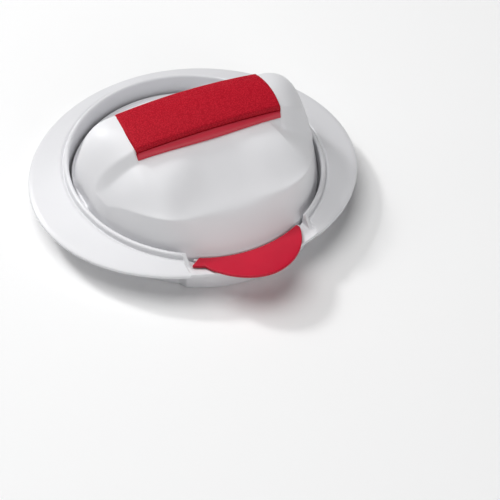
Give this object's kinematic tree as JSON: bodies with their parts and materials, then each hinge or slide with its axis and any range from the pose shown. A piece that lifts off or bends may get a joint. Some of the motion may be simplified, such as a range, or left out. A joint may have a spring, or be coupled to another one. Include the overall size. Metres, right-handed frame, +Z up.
{
  "type": "patty press",
  "caption": "Hand press for round meat patties: white mould with an oval flange, a lift-out plate with a red finger tab, and a scooped plunger with a soft red bridge handle.",
  "frame": {"origin": "where the mould's axis meets the plane that the press stands on", "axes": "+Z up along the mould's axis, X along the handle and the long way of the oval flange, -Y towards the finger tab"},
  "size_m": [0.164, 0.151, 0.0561],
  "materials": {
    "mould_white": "satin moulded",
    "plate_white": "satin moulded",
    "tab_red": "satin moulded",
    "plunger_white": "satin moulded",
    "press_white": "satin moulded",
    "grip_red": "soft touch, fine leather grain"
  },
  "bodies": {
    "mould": {"mould_ring": "mould_white"},
    "lift": {"lift_plate": "plate_white", "lift_tab": "tab_red"},
    "plunger": {"plunger_shell": "plunger_white", "press_plate": "press_white", "grip_pad": "grip_red"}
  },
  "joints": [
    {"name": "lift_slide", "type": "slide", "parent": "mould", "child": "lift", "axis": [0, 0, 1], "range_m": [0, 0.025]},
    {"name": "plunger_slide", "type": "slide", "parent": "lift", "child": "plunger", "axis": [0, 0, 1], "range_m": [0, 0.035]}
  ]
}
